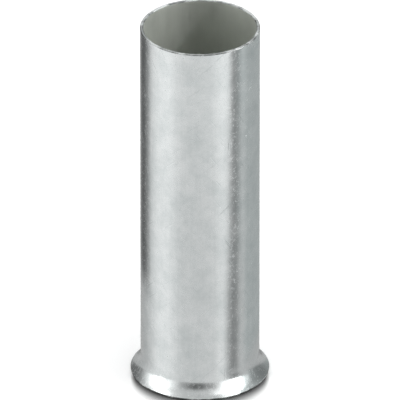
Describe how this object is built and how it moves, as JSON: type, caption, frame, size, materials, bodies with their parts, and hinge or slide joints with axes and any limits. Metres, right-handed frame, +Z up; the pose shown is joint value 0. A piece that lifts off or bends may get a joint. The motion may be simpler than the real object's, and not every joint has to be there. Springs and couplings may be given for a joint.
{
  "type": "wire ferrule",
  "caption": "Uninsulated wire end ferrule: a thin tinned copper sleeve, open at both ends, with a flared bell mouth at its foot.",
  "frame": {"origin": "on the axis of the barrel, at the foot of the bell mouth, which is what the ferrule stands on", "axes": "+Z up along the barrel, from the bell mouth to the cut end; X and Y are alike, as the sleeve is round"},
  "size_m": [0.009, 0.009, 0.025],
  "materials": {
    "tin_plate": "satin, electro-tinned copper with fine drawing lines along the barrel"
  },
  "bodies": {
    "root": {"ferrule_sleeve": "tin_plate"}
  },
  "joints": []
}
